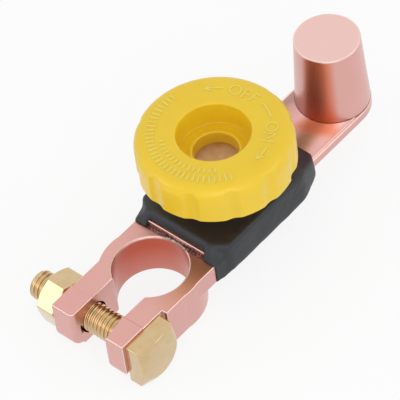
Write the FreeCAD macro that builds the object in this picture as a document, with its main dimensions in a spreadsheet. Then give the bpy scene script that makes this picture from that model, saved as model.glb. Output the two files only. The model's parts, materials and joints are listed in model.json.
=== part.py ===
import FreeCAD, Part
import Sketcher
import math
import os
import re

# Battery terminal disconnect switch. A split clamp grips the battery's post, a tapered post
# takes the cable's clamp, and a knob on a screw bridges the two castings or parts them.
# Frame: millimetres, origin on the clamp bore's axis at the clamp's underside, +X towards the
# tapered post, +Y towards the clamp nut, +Z up. The knob is modelled screwed up, switch open.

doc = FreeCAD.newDocument("battery_disconnect_switch")
sheet = doc.addObject("Spreadsheet::Sheet", "Sizes")

# Driving dimensions in millimetres, counts and degrees.
SIZES = {
    "bore_radius": 9.75,
    "bore_chamfer": 0.3,
    "ring_radius": 13.5,
    "ring_height": 12.6,
    "slot_half": 5.1,
    "slot_corner": 1.0,
    "jaw_reach": 24.3,
    "nut_jaw_side": 12.0,
    "head_jaw_side": 11.7,
    "arm_side": 13.3,
    "head_seat_length": 15.15,
    "lug_length": 8.0,
    "lug_raise": 0.35,
    "jaw_round": 3.0,
    "jaw_side_round": 3.4,
    "neck_half": 13.2,
    "neck_depth": 6.1,
    "neck_reach": 12.0,
    "neck_taper": 4.0,
    "riser_start": 10.2,
    "riser_height": 1.7,
    "tongue_half": 9.8,
    "tongue_thickness": 2.4,
    "sheet_thickness": 0.6,
    "knob_centre": 28.3,
    "post_centre": 73.1,
    "plate_half": 10.15,
    "plate_thickness": 3.0,
    "plate_edge": 0.6,
    "thread_boss_radius": 8.0,
    "thread_boss_depth": 1.5,
    "post_top_radius": 8.75,
    "post_height": 21.8,
    "post_taper": 18.0,
    "post_edge": 0.35,
    "bolt_radius": 4.0,
    "bolt_back": 16.8,
    "bolt_lift": 5.6,
    "bolt_hole_gap": 0.45,
    "head_width": 13.0,
    "head_thickness": 5.3,
    "nut_width": 13.0,
    "nut_thickness": 6.8,
    "nut_angle": 73.0,
    "nut_seat_gap": 0.2,
    "bolt_tail": 5.5,
    "tip_chamfer": 1.0,
    "corner_angle": 30.0,
    "corner_circle": 6.2,
    "running_gap": 0.05,
    "cover": 2.7,
    "housing_half": 15.2,
    "housing_front": 10.9,
    "front_corner_x": 2.8,
    "front_corner_y": 4.2,
    "housing_shoulder": 43.5,
    "rear_reach": 9.9,
    "rear_corner_x": 2.4,
    "rear_corner_y": 3.0,
    "housing_rear_half": 12.2,
    "ramp_setback": 0.5,
    "rear_lip": 1.1,
    "belly_height": 3.2,
    "belly_skin": 2.0,
    "side_angle": 3.2,
    "belly_angle": 34.0,
    "lip_front": 9.0,
    "lip_edge": 0.15,
    "lip_wall": 1.2,
    "lip_crown": 0.7,
    "cheek_rise": 0.6,
    "riser_show": 0.3,
    "notch_half": 9.3,
    "ring_grip": 0.7,
    "housing_round": 1.6,
    "platform_edge": 0.6,
    "stud_room": 0.6,
    "collar_radius": 10.8,
    "collar_height": 6.6,
    "well_radius": 8.5,
    "retainer_radius": 9.4,
    "open_lift": 3.0,
    "washer_thickness": 0.8,
    "washer_radius": 8.0,
    "shoulder_radius": 8.2,
    "shoulder_thickness": 2.0,
    "stud_radius": 5.0,
    "stud_grip": 2.6,
    "head_radius": 5.75,
    "bush_wall": 0.95,
    "bush_gap": 0.25,
    "plug_radius": 6.5,
    "plug_thickness": 0.7,
    "seal_section": 0.8,
    "hub_radius": 7.2,
    "knob_lift": 9.5,
    "knob_radius": 20.45,
    "knob_height": 11.5,
    "knob_round": 3.2,
    "knob_wall": 3.0,
    "flute_depth": 0.75,
    "flute_radius": 4.1,
    "flute_count": 12,
    "flute_phase": -7.8,
    "recess_radius": 9.5,
    "recess_depth": 7.4,
    "recess_wall": 2.5,
    "deck": 3.4,
    "web": 2.0,
    "eye_radius": 5.9,
    "eye_depth": 3.2,
    "eye_lip": 0.3,
    "eye_lip_width": 1.0,
    "rim_edge": 0.5,
    "rib_count": 6,
    "rib_width": 1.6,
    "overcut": 1.0,
    "overlap": 0.5,
    "hairline": 0.01,
}

# Heights and radii that follow from the driving dimensions.
DERIVED = {
    "tongue_top": "ring_height + riser_height",
    "tongue_under": "tongue_top - tongue_thickness",
    "plate_top": "tongue_under - sheet_thickness",
    "plate_under": "plate_top - plate_thickness",
    "boss_under": "plate_under - thread_boss_depth",
    "neck_floor": "ring_height - neck_depth",
    "housing_floor": "boss_under - belly_skin",
    "waist_height": "housing_floor + belly_height",
    "housing_rear": "housing_shoulder + rear_reach",
    "ramp_start": "housing_shoulder + ramp_setback",
    "platform": "tongue_top + cover",
    "collar_top": "platform + collar_height",
    "washer_under": "tongue_top + open_lift",
    "shoulder_under": "washer_under + washer_thickness",
    "shoulder_top": "shoulder_under + shoulder_thickness",
    "retainer_under": "shoulder_top + 2 * running_gap",
    "stud_end": "plate_top - stud_grip",
    "plug_top": "housing_floor + plug_thickness",
    "knob_under": "platform + knob_lift",
    "knob_top": "knob_under + knob_height",
    "recess_floor": "knob_top - recess_depth",
    "stud_top": "recess_floor - eye_depth",
    "bush_radius": "stud_radius + bush_gap + bush_wall",
    "post_base_radius": "post_top_radius + post_height / post_taper",
}


# Straight chords that draw the quarter round at the knob's shoulder.
SHOULDER_CHORDS = 3


def fill_sheet():
    """Write every size into the sheet as text, with its alias."""
    rows = [(name, str(value)) for name, value in SIZES.items()]
    rows += [(name, "=" + formula) for name, formula in DERIVED.items()]
    for row, (name, text) in enumerate(rows, start=1):
        sheet.set(f"A{row}", name)
        sheet.set(f"B{row}", text)
        sheet.setAlias(f"B{row}", name)
    doc.recompute()


def named(formula):
    """Put the sheet's name before every alias in a formula."""
    known = set(SIZES) | set(DERIVED)
    return re.sub(r"[a-z_]+", lambda word: f"Sizes.{word[0]}" if word[0] in known else word[0], formula)


def bind(target, prop, formula):
    """Tie a property of an object to a formula over the sheet's aliases."""
    target.setExpression(prop, named(str(formula)))


def number(formula):
    """The present value of a formula, to draw a sketch near its solved shape."""
    value = sheet.evalExpression(named(str(formula)))
    return float(getattr(value, "Value", value))


def new_body(label, at=("0", "0", "0")):
    """A body whose placement follows the sheet."""
    body = doc.addObject("PartDesign::Body", label)
    body.Label = label
    for axis, formula in zip("xyz", at):
        bind(body, f".Placement.Base.{axis}", formula)
    return body


def plane_of(body, role):
    """The body's own origin plane with this role."""
    return next(f for f in body.Origin.OriginFeatures if f.Role == role)


def new_sketch(body, name, role="XY_Plane", offset="0"):
    """A sketch on one of the body's origin planes, moved along its normal."""
    sketch = body.newObject("Sketcher::SketchObject", name)
    sketch.AttachmentSupport = [(plane_of(body, role), "")]
    sketch.MapMode = "FlatFace"
    bind(sketch, "AttachmentOffset.Base.z", offset)
    return sketch


def pin_point(sketch, geo, end, x, y):
    """Fix a point of the sketch at two formulas from its origin."""
    for axis, kind, formula in ((-2, "DistanceX", x), (-1, "DistanceY", y)):
        if str(formula) == "0":
            sketch.addConstraint(Sketcher.Constraint("PointOnObject", geo, end, axis))
            continue
        index = sketch.addConstraint(Sketcher.Constraint(kind, -1, 1, geo, end, number(formula)))
        bind(sketch, f"Constraints[{index}]", formula)


def polygon(sketch, corners):
    """A closed outline through corners given as pairs of formulas."""
    points = [FreeCAD.Vector(number(x), number(y), 0) for x, y in corners]
    first = sketch.GeometryCount
    for start, end in zip(points, points[1:] + points[:1]):
        sketch.addGeometry(Part.LineSegment(start, end), False)
    count = len(corners)
    for step, (x, y) in enumerate(corners):
        after = first + (step + 1) % count
        sketch.addConstraint(Sketcher.Constraint("Coincident", first + step, 2, after, 1))
        pin_point(sketch, first + step, 1, x, y)


def circle(sketch, x, y, radius):
    """A circle whose centre and radius are formulas."""
    centre = FreeCAD.Vector(number(x), number(y), 0)
    geo = sketch.addGeometry(Part.Circle(centre, FreeCAD.Vector(0, 0, 1), number(radius)), False)
    pin_point(sketch, geo, 3, x, y)
    index = sketch.addConstraint(Sketcher.Constraint("Radius", geo, number(radius)))
    bind(sketch, f"Constraints[{index}]", radius)


def rounded_outline(sketch, corners, radius):
    """A closed clockwise outline, its corners rounded to one radius; a third value of "sharp" keeps one."""
    points = [FreeCAD.Vector(number(x), number(y), 0) for x, y, *_ in corners]
    sharp = [len(corner) > 2 for corner in corners]
    count, size, up = len(points), number(radius), FreeCAD.Vector(0, 0, 1)
    arcs, lines, starts, ends = [], [], [], []
    for step, corner in enumerate(points):
        back = (points[step - 1] - corner).normalize()
        ahead = (points[(step + 1) % count] - corner).normalize()
        half_angle = back.getAngle(ahead) / 2
        reach = 0 if sharp[step] else size / math.tan(half_angle)
        ends.append(corner + back * reach)
        starts.append(corner + ahead * reach)
        if sharp[step]:
            arcs.append(None)
            continue
        middle = corner + (back + ahead).normalize() * (size / math.sin(half_angle))
        first, last = starts[-1] - middle, ends[-1] - middle
        round_corner = Part.Circle(middle, up, size)
        arc = Part.ArcOfCircle(round_corner, math.atan2(first.y, first.x), math.atan2(last.y, last.x))
        arcs.append(sketch.addGeometry(arc, False))
    for step in range(count):
        line = Part.LineSegment(starts[step], ends[(step + 1) % count])
        lines.append(sketch.addGeometry(line, False))
    for step, corner in enumerate(corners):
        arc, line, before = arcs[step], lines[step], lines[step - 1]
        if sharp[step]:
            sketch.addConstraint(Sketcher.Constraint("Coincident", before, 2, line, 1))
            pin_point(sketch, line, 1, corner[0], corner[1])
            continue
        sketch.addConstraint(Sketcher.Constraint("Tangent", arc, 1, line, 1))
        sketch.addConstraint(Sketcher.Constraint("Tangent", before, 2, arc, 2))
        index = sketch.addConstraint(Sketcher.Constraint("Radius", arc, size))
        bind(sketch, f"Constraints[{index}]", radius)
        tip = sketch.addGeometry(Part.Point(points[step]), True)
        pin_point(sketch, tip, 1, corner[0], corner[1])
        sketch.addConstraint(Sketcher.Constraint("PointOnObject", tip, 1, line))
        sketch.addConstraint(Sketcher.Constraint("PointOnObject", tip, 1, before))


def mirrored_outline(half):
    """The corners of a half outline with y above zero, followed by their mirror images."""
    return half + [(x, f"-( {y} )") for x, y in reversed(half)]


def pad(body, name, sketch, length, reverse=False, middle=False, draft=None):
    """Raise a sketch into the body."""
    feature = body.newObject("PartDesign::Pad", name)
    feature.Profile = sketch
    feature.Reversed = reverse
    feature.Midplane = middle
    bind(feature, "Length", length)
    if draft:
        bind(feature, "TaperAngle", draft)
    return feature


def pocket(body, name, sketch, length=None, reverse=False, middle=False):
    """Cut a sketch out of the body, right through where no length is given."""
    before = body.Shape.Volume
    feature = body.newObject("PartDesign::Pocket", name)
    feature.Profile = sketch
    feature.Reversed = reverse
    feature.Midplane = middle
    if length:
        bind(feature, "Length", length)
    else:
        feature.Type = "ThroughAll"
    doc.recompute()
    must_shrink(body, name, before)
    return feature


def must_shrink(body, name, before):
    """A cut that removes nothing is an error."""
    if body.Shape.Volume > before - 1e-3:
        raise RuntimeError(f"{body.Label}: {name} cuts nothing")


def turned(body, name, sketch, kind="PartDesign::Revolution"):
    """Turn a sketch a whole turn about its own vertical axis."""
    feature = body.newObject(kind, name)
    feature.Profile = sketch
    feature.ReferenceAxis = (sketch, ["V_Axis"])
    feature.Angle = 360.0
    return feature


def edges_where(shape, test):
    """Names of the edges whose middle point passes a test."""
    names = []
    for index, edge in enumerate(shape.Edges, start=1):
        middle = edge.valueAt((edge.FirstParameter + edge.LastParameter) / 2)
        if test(edge, middle):
            names.append(f"Edge{index}")
    return names


def dress(body, name, kind, base, edges, prop, formula):
    """Fillet or chamfer edges of a feature by a size from the sheet."""
    if not edges:
        raise RuntimeError(f"{body.Label}: {name} finds no edge")
    feature = body.newObject(kind, name)
    feature.Base = (base, edges)
    bind(feature, prop, formula)
    return feature


def shape_of(feature):
    """The feature's shape once the document is up to date."""
    doc.recompute()
    return feature.Shape


def near(value, formula, slack=0.02):
    """Whether a measured value equals a formula."""
    return abs(value - number(formula)) < slack


def upright(edge):
    """Whether an edge is a straight line along Z."""
    return isinstance(edge.Curve, Part.Line) and abs(abs(edge.Curve.Direction.z) - 1) < 1e-6


def round_edge(edge, formula):
    """Whether an edge is an arc of this radius."""
    return isinstance(edge.Curve, Part.Circle) and near(edge.Curve.Radius, formula)


def cylinder(name, radius, height, at):
    """A plain upright cylinder for booleans."""
    part = doc.addObject("Part::Cylinder", name)
    bind(part, "Radius", radius)
    bind(part, "Height", height)
    for axis, formula in zip("xyz", at):
        bind(part, f".Placement.Base.{axis}", formula)
    return part


def cut_from(label, base, tools):
    """The base with the tools taken away, as the piece that carries the label."""
    joined = tools[0]
    if len(tools) > 1:
        joined = doc.addObject("Part::MultiFuse", label + "_tools")
        joined.Shapes = tools
    result = doc.addObject("Part::Cut", label)
    result.Label = label
    result.Base = base
    result.Tool = joined
    doc.recompute()
    if result.Shape.Volume > base.Shape.Volume - 1e-3:
        raise RuntimeError(f"{label}: the tools cut nothing")
    return result


def clamp_casting():
    """Split ring with two jaws, its neck, and the upper contact tongue, cast in one."""
    body = new_body("clamp_casting")
    side = new_sketch(body, "jaw_side_profile", "XZ_Plane", offset="-nut_jaw_side")
    rounded_outline(side, [("-jaw_reach", "ring_height", "sharp"), ("0", "ring_height", "sharp"),
                           ("0", "0", "sharp"), ("-jaw_reach", "0")], "jaw_round")
    pad(body, "jaws", side, "nut_jaw_side + head_jaw_side")
    doc.recompute()
    trim = new_sketch(body, "jaw_end_section", "YZ_Plane")
    rounded_outline(trim, [("-head_jaw_side", "ring_height + overcut", "sharp"),
                           ("nut_jaw_side", "ring_height + overcut", "sharp"),
                           ("nut_jaw_side", "0"), ("-head_jaw_side", "0")], "jaw_side_round")
    left, right, high = "-head_jaw_side - overcut", "nut_jaw_side + overcut", "ring_height + 2 * overcut"
    polygon(trim, [(left, high), (left, "-overcut"), (right, "-overcut"), (right, high)])
    pocket(body, "jaw_edges", trim, middle=True)
    ring = new_sketch(body, "ring_outline")
    circle(ring, "0", "0", "ring_radius")
    pad(body, "ring", ring, "ring_height")
    arm = new_sketch(body, "arm_outline")
    seat_end = "head_seat_length - jaw_reach"
    polygon(arm, [(seat_end, "0"), ("0", "0"), ("0", "-arm_side"), (seat_end, "-arm_side")])
    pad(body, "arm", arm, "ring_height")
    middle_height = "ring_height / 2"
    lugs = new_sketch(body, "lug_outline", offset=middle_height)
    lug_back = "lug_length - jaw_reach"
    polygon(lugs, [("-jaw_reach", "nut_jaw_side"), (lug_back, "nut_jaw_side"),
                   (lug_back, "-head_jaw_side"), ("-jaw_reach", "-head_jaw_side")])
    pad(body, "lugs", lugs, f"ring_height - {middle_height} + lug_raise")
    neck = new_sketch(body, "neck_outline", offset="neck_floor")
    neck_end = "neck_reach + neck_taper"
    neck_corners = [("0", "neck_half"), ("neck_reach", "neck_half"), (neck_end, "tongue_half")]
    polygon(neck, mirrored_outline(neck_corners))
    pad(body, "neck", neck, "ring_height - neck_floor")
    root = new_sketch(body, "riser_outline", offset="neck_floor")
    polygon(root, mirrored_outline([("riser_start", "tongue_half"), (neck_end, "tongue_half")]))
    pad(body, "riser", root, "tongue_top - neck_floor")
    tongue = new_sketch(body, "tongue_outline", offset="tongue_under")
    polygon(tongue, mirrored_outline([("riser_start", "tongue_half"), ("knob_centre", "tongue_half")]))
    pad(body, "tongue", tongue, "tongue_thickness")
    tip = new_sketch(body, "tongue_tip_outline", offset="tongue_under")
    circle(tip, "knob_centre", "0", "tongue_half")
    pad(body, "tongue_tip", tip, "tongue_thickness")
    doc.recompute()
    bore = new_sketch(body, "bore_outline")
    circle(bore, "0", "0", "bore_radius")
    pocket(body, "bore", bore, "ring_height", reverse=True)
    slot = new_sketch(body, "slot_outline")
    polygon(slot, mirrored_outline([("-jaw_reach - overcut", "slot_half"), ("0", "slot_half")]))
    slotted = pocket(body, "slot", slot, reverse=True)
    corners = edges_where(slotted.Shape, lambda edge, middle: near(abs(middle.y), "slot_half")
                          and near(middle.z, middle_height) and upright(edge))
    dress(body, "slot_corners", "PartDesign::Fillet", slotted, corners, "Radius", "slot_corner")
    doc.recompute()
    bolt_hole = new_sketch(body, "bolt_hole_outline", "XZ_Plane")
    circle(bolt_hole, "-bolt_back", "bolt_lift", "bolt_radius + bolt_hole_gap")
    pocket(body, "bolt_hole", bolt_hole, middle=True)
    stud_hole = new_sketch(body, "stud_hole_outline")
    circle(stud_hole, "knob_centre", "0", "bush_radius")
    cut = pocket(body, "stud_hole", stud_hole, reverse=True)
    rim = edges_where(cut.Shape, lambda edge, middle: round_edge(edge, "bore_radius")
                      and near(middle.z, "ring_height"))
    dress(body, "bore_chamfer", "PartDesign::Chamfer", cut, rim, "Size", "bore_chamfer")
    doc.recompute()
    return body


def post_casting():
    """Contact plate with its threaded boss and the tapered terminal post, cast in one."""
    body = new_body("post_casting")
    for name, centre in (("knob_end", "knob_centre"), ("post_end", "post_centre")):
        end = new_sketch(body, name + "_outline", offset="plate_under")
        circle(end, centre, "0", "plate_half")
        pad(body, name, end, "plate_thickness")
    bar = new_sketch(body, "plate_outline", offset="plate_under")
    polygon(bar, mirrored_outline([("knob_centre", "plate_half"), ("post_centre", "plate_half")]))
    plate = pad(body, "plate", bar, "plate_thickness")
    rim = edges_where(shape_of(plate), lambda edge, middle: near(middle.z, "plate_top"))
    dress(body, "plate_edge_chamfer", "PartDesign::Chamfer", plate, rim, "Size", "plate_edge")
    doc.recompute()
    boss = new_sketch(body, "boss_outline", offset="boss_under")
    circle(boss, "knob_centre", "0", "thread_boss_radius")
    pad(body, "thread_boss", boss, "thread_boss_depth + plate_thickness / 2")
    doc.recompute()
    thread = new_sketch(body, "thread_outline")
    circle(thread, "knob_centre", "0", "stud_radius + running_gap")
    pocket(body, "thread_bore", thread, reverse=True)
    post = new_sketch(body, "post_profile", "XZ_Plane")
    foot = "plate_top - plate_thickness / 2"
    top = "plate_top + post_height"
    polygon(post, [("post_centre", foot), ("post_centre + post_base_radius", foot),
                   ("post_centre + post_base_radius", "plate_top"), ("post_centre + post_top_radius", top),
                   ("post_centre", top)])
    low = FreeCAD.Vector(number("post_centre"), 0, 0)
    high = FreeCAD.Vector(number("post_centre"), number("plate_top"), 0)
    axis = post.addGeometry(Part.LineSegment(low, high), True)
    pin_point(post, axis, 1, "post_centre", "0")
    pin_point(post, axis, 2, "post_centre", "plate_top")
    turn = body.newObject("PartDesign::Revolution", "post")
    turn.Profile = post
    turn.ReferenceAxis = (post, ["Axis0"])
    turn.Angle = 360.0
    rim = edges_where(shape_of(turn), lambda edge, middle: near(middle.z, top))
    dress(body, "post_rim", "PartDesign::Chamfer", turn, rim, "Size", "post_edge")
    doc.recompute()
    return body


def insulating_sheet():
    """Flat fibre sheet that keeps the two castings apart."""
    body = new_body("insulating_sheet")
    end = new_sketch(body, "round_end_outline", offset="plate_top")
    circle(end, "knob_centre", "0", "tongue_half")
    pad(body, "round_end", end, "sheet_thickness")
    flat = new_sketch(body, "sheet_outline", offset="plate_top")
    tongue_corners = [("neck_reach + neck_taper", "tongue_half"), ("knob_centre", "tongue_half")]
    polygon(flat, mirrored_outline(tongue_corners))
    pad(body, "sheet", flat, "sheet_thickness")
    doc.recompute()
    hole = new_sketch(body, "hole_outline")
    circle(hole, "knob_centre", "0", "bush_radius")
    pocket(body, "stud_hole", hole, reverse=True)
    return body


def insulating_bush():
    """Plain sleeve that lines the upper tongue's hole round the stud."""
    body = new_body("insulating_bush", ("knob_centre", "0", "plate_top"))
    wall = new_sketch(body, "sleeve_outline")
    circle(wall, "0", "0", "bush_radius")
    circle(wall, "0", "0", "stud_radius + bush_gap")
    pad(body, "sleeve", wall, "tongue_top - plate_top")
    doc.recompute()
    return body


def contact_stud():
    """Threaded stud with the contact shoulder and the plain head that the knob grips."""
    body = new_body("contact_stud", ("knob_centre", "0", "stud_end"))
    profile = new_sketch(body, "stud_profile", "XZ_Plane")
    heights = {name: f"{name} - stud_end" for name in ("shoulder_under", "shoulder_top", "stud_top")}
    under, over = heights["shoulder_under"], heights["shoulder_top"]
    polygon(profile, [("0", "0"), ("stud_radius - tip_chamfer", "0"), ("stud_radius", "tip_chamfer"),
                      ("stud_radius", under), ("shoulder_radius", under),
                      ("shoulder_radius", over), ("head_radius", over),
                      ("head_radius", heights["stud_top"]), ("0", heights["stud_top"])])
    turned(body, "stud", profile)
    doc.recompute()
    return body


def contact_washer():
    """Copper washer that the shoulder presses on the upper tongue."""
    body = new_body("contact_washer", ("knob_centre", "0", "washer_under"))
    ring = new_sketch(body, "washer_outline")
    circle(ring, "0", "0", "washer_radius")
    circle(ring, "0", "0", "stud_radius + running_gap")
    pad(body, "washer", ring, "washer_thickness")
    doc.recompute()
    return body


def retainer_ring():
    """Ring pressed into the collar, which stops the shoulder and carries the seal."""
    body = new_body("retainer_ring", ("knob_centre", "0", "retainer_under"))
    profile = new_sketch(body, "retainer_profile", "XZ_Plane")
    top = "collar_top - retainer_under"
    inner = "hub_radius + running_gap"
    groove_low = f"( {top} ) / 2 - seal_section"
    groove_high = f"( {top} ) / 2 + seal_section"
    groove = "hub_radius + running_gap + 2 * seal_section"
    polygon(profile, [
        (inner, "0"), ("retainer_radius", "0"), ("retainer_radius", top), (inner, top),
        (inner, groove_high), (groove, groove_high), (groove, groove_low), (inner, groove_low)])
    turned(body, "retainer", profile)
    doc.recompute()
    return body


def stem_seal():
    """Rubber ring in the retainer's groove, round the knob's hub."""
    body = new_body("stem_seal", ("knob_centre", "0", "( retainer_under + collar_top ) / 2 - seal_section"))
    ring = new_sketch(body, "seal_outline")
    circle(ring, "0", "0", "hub_radius + running_gap + 2 * seal_section")
    circle(ring, "0", "0", "hub_radius + running_gap")
    pad(body, "seal", ring, "2 * seal_section")
    doc.recompute()
    return body


def base_plug():
    """Disc pressed into the housing's underside below the stud."""
    plug = cylinder("base_plug", "plug_radius", "plug_thickness", ("knob_centre", "0", "housing_floor"))
    plug.Label = "base_plug"
    doc.recompute()
    return plug


def clamp_bolt():
    """Square-headed bolt across the jaws, its head turned to a cone at the corners."""
    body = new_body("clamp_bolt", ("-bolt_back", "0", "bolt_lift"))
    head_inner = "head_jaw_side"
    head = new_sketch(body, "head_outline", "XZ_Plane", offset=head_inner)
    half = "head_width / 2"
    polygon(head, [(f"-{half}", f"-{half}"), (half, f"-{half}"), (half, half), (f"-{half}", half)])
    pad(body, "head", head, "head_thickness")
    shank = new_sketch(body, "shank_outline", "XZ_Plane", offset=head_inner)
    circle(shank, "0", "0", "bolt_radius")
    length = "head_jaw_side + nut_jaw_side + nut_seat_gap + nut_thickness + bolt_tail"
    shaft = pad(body, "shank", shank, length, reverse=True)
    doc.recompute()
    tip = edges_where(shaft.Shape, lambda edge, middle: near(middle.y, f"{length} - head_jaw_side"))
    dress(body, "shank_tip", "PartDesign::Chamfer", shaft, tip, "Size", "tip_chamfer")
    doc.recompute()
    corner_cut(body, "head_corners", "head_width", "head_jaw_side + head_thickness", -1)
    return body


def corner_cut(body, name, width, face, side):
    """Turn off the corners of a square or hexagon at one end face, to a cone."""
    before = body.Shape.Volume
    profile = new_sketch(body, name + "_profile", "XY_Plane")
    depth = f"( {width} - corner_circle ) * tan( corner_angle * 1 deg )"
    end = f"{side} * ( {face} )"
    past = f"{side} * ( {face} + overcut )"
    low = f"{side} * ( {face} - {depth} )"
    polygon(profile, [("corner_circle", end), (width, low), (width, past), ("corner_circle", past)])
    turned(body, name, profile, "PartDesign::Groove")
    doc.recompute()
    must_shrink(body, name, before)


def clamp_nut():
    """Hexagon nut on the bolt's thread, its corners turned off at both ends."""
    body = new_body("clamp_nut", ("-bolt_back", "0", "bolt_lift"))
    bind(body, ".Placement.Rotation.Angle", "nut_angle")
    body.Placement.Rotation.Axis = FreeCAD.Vector(0, -1, 0)
    inner = "nut_jaw_side + nut_seat_gap"
    hexagon = new_sketch(body, "nut_outline", "XZ_Plane", offset=f"-( {inner} )")
    across, corner = "nut_width / 2", "nut_width / 2 / cos( 30 deg )"
    side = "nut_width / 2 * tan( 30 deg )"
    polygon(hexagon, [(across, side), ("0", corner), (f"-{across}", side),
                      (f"-{across}", f"-{side}"), ("0", f"-{corner}"), (across, f"-{side}")])
    circle(hexagon, "0", "0", "bolt_radius + running_gap")
    pad(body, "nut", hexagon, "nut_thickness", reverse=True)
    doc.recompute()
    corner_cut(body, "outer_corners", "nut_width", f"{inner} + nut_thickness", 1)
    corner_cut(body, "inner_corners", "nut_width", f"-( {inner} )", -1)
    return body


def housing(inserts):
    """Rubbery housing moulded round both castings, with the knob's collar."""
    body = new_body("housing_moulding")
    waist = new_sketch(body, "waist_outline", offset="waist_height")
    outline = mirrored_outline([
        ("housing_front", "housing_half - front_corner_y"),
        ("housing_front + front_corner_x", "housing_half"),
        ("housing_shoulder", "housing_half"),
        ("housing_rear - rear_corner_x", "housing_rear_half"),
        ("housing_rear", "housing_rear_half - rear_corner_y")])
    rounded_outline(waist, outline, "housing_round")
    pad(body, "upper_body", waist, "platform - waist_height", draft="-side_angle")
    lower = pad(body, "belly", waist, "waist_height - housing_floor", reverse=True, draft="-belly_angle")
    brow = edges_where(shape_of(lower), lambda edge, middle: near(middle.z, "platform"))
    dress(body, "platform_chamfer", "PartDesign::Chamfer", lower, brow, "Size", "platform_edge")
    doc.recompute()
    ramp = new_sketch(body, "ramp_profile", "XZ_Plane")
    ramp_end = "housing_rear + overcut"
    polygon(ramp, [("ramp_start", "platform + hairline"), (ramp_end, "plate_top + rear_lip"),
                   (ramp_end, "platform + overcut"), ("ramp_start", "platform + overcut")])
    pocket(body, "ramp", ramp, middle=True)
    front = lip_section(body, "lip_front_section", "lip_front", "lip_edge")
    rear = lip_section(body, "lip_rear_section", "housing_front + front_corner_x", "lip_wall")
    lip = body.newObject("PartDesign::AdditiveLoft", "front_lip")
    lip.Profile = front
    lip.Sections = [rear]
    lip.Ruled = True
    doc.recompute()
    brow_x = "housing_front + lip_crown"
    before_lip = "lip_front - overcut"
    slope = new_sketch(body, "cheek_profile", "XZ_Plane")
    polygon(slope, [
        (before_lip, "ring_height + cheek_rise - overcut"), ("lip_front", "ring_height + cheek_rise"),
        (brow_x, "platform + hairline"), (brow_x, "platform + overcut"), (before_lip, "platform + overcut")])
    pocket(body, "cheek_slope", slope, middle=True)
    notch = new_sketch(body, "notch_profile", "XZ_Plane")
    notch_back = "riser_start + riser_show"
    polygon(notch, [(before_lip, "ring_height"), (notch_back, "ring_height"), (notch_back, "tongue_top"),
                    (brow_x, "platform + hairline"), (before_lip, "platform + hairline")])
    pocket(body, "riser_notch", notch, "2 * notch_half", middle=True)
    collar = new_sketch(body, "collar_outline", offset="tongue_top")
    circle(collar, "knob_centre", "0", "collar_radius")
    pad(body, "collar", collar, "collar_top - tongue_top")
    doc.recompute()
    hollows = (
        ("well", "knob_centre", "well_radius", "tongue_top", "collar_top - tongue_top"),
        ("retainer_seat", "knob_centre", "retainer_radius", "retainer_under", "collar_top - retainer_under"),
        ("stud_hollow", "knob_centre", "stud_radius + stud_room", "plug_top", "tongue_top - plug_top"),
        ("ring_hollow", "0", "ring_radius - ring_grip", "0", "ring_height"))
    for name, centre, radius, floor, depth in hollows:
        hollow = new_sketch(body, name + "_outline", offset=floor)
        circle(hollow, centre, "0", radius)
        pocket(body, name, hollow, depth, reverse=True)
    return cut_from("housing", body, inserts)


def lip_section(body, name, offset, wall):
    """A section of the moulding's front lip: one wall beside and above the neck, a thin edge below it."""
    section = new_sketch(body, name, "YZ_Plane", offset=offset)
    side = f"neck_half + {wall}"
    half = [(side, "neck_floor - lip_edge"), (side, f"ring_height + {wall}"),
            ("tongue_half + lip_crown", "platform - lip_crown")]
    polygon(section, half + [(f"-( {y} )", z) for y, z in reversed(half)])
    return section


def knob(stud):
    """Fluted moulded knob with a deep recess on top and ribs beneath, moulded round the stud."""
    body = new_body("knob_moulding", ("knob_centre", "0", "knob_under"))
    profile = new_sketch(body, "knob_profile", "XZ_Plane")
    floor = "recess_floor - knob_under"
    wall = "recess_radius + recess_wall"
    skirt = "knob_radius - knob_wall"
    under_deck = "knob_height - deck"
    lip = "eye_radius + eye_lip_width"
    chords = [f"{90 * step / SHOULDER_CHORDS} deg" for step in range(SHOULDER_CHORDS + 1)]
    shoulder = [(f"knob_radius - knob_round * ( 1 - cos( {turn} ) )",
                 f"knob_height - knob_round * ( 1 - sin( {turn} ) )") for turn in chords]
    polygon(profile, [
        ("0", "shoulder_top - knob_under"), ("hub_radius", "shoulder_top - knob_under"),
        ("hub_radius", f"{floor} - web"), (wall, f"{floor} - web"), (wall, under_deck), (skirt, under_deck),
        (skirt, "0"), ("knob_radius", "0"), *shoulder, ("recess_radius", "knob_height"),
        ("recess_radius", floor), (lip, floor), (lip, f"{floor} + eye_lip"),
        ("eye_radius", f"{floor} + eye_lip"), ("eye_radius", "stud_top - knob_under"),
        ("0", "stud_top - knob_under")])
    turn = turned(body, "knob_turned", profile)
    rim = edges_where(shape_of(turn), lambda edge, middle: near(middle.z, "knob_height")
                      and round_edge(edge, "recess_radius"))
    dress(body, "rim_chamfer", "PartDesign::Chamfer", turn, rim, "Size", "rim_edge")
    doc.recompute()
    rib = new_sketch(body, "rib_outline", offset=f"{floor} - web")
    inner, outer = f"{wall} - overlap", f"{skirt} + overlap"
    polygon(rib, [(inner, "-rib_width / 2"), (outer, "-rib_width / 2"),
                  (outer, "rib_width / 2"), (inner, "rib_width / 2")])
    one_rib = pad(body, "rib", rib, f"{under_deck} - ( {floor} - web ) + overlap")
    repeat(body, "ribs", one_rib, "rib_count")
    flute = new_sketch(body, "flute_outline")
    reach = "( knob_radius + flute_radius - flute_depth )"
    turned_by = "flute_phase * 1 deg"
    circle(flute, f"{reach} * cos( {turned_by} )", f"{reach} * sin( {turned_by} )", "flute_radius")
    one_flute = pocket(body, "flute", flute, reverse=True)
    repeat(body, "flutes", one_flute, "flute_count")
    return cut_from("knob", body, [stud])


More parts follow.
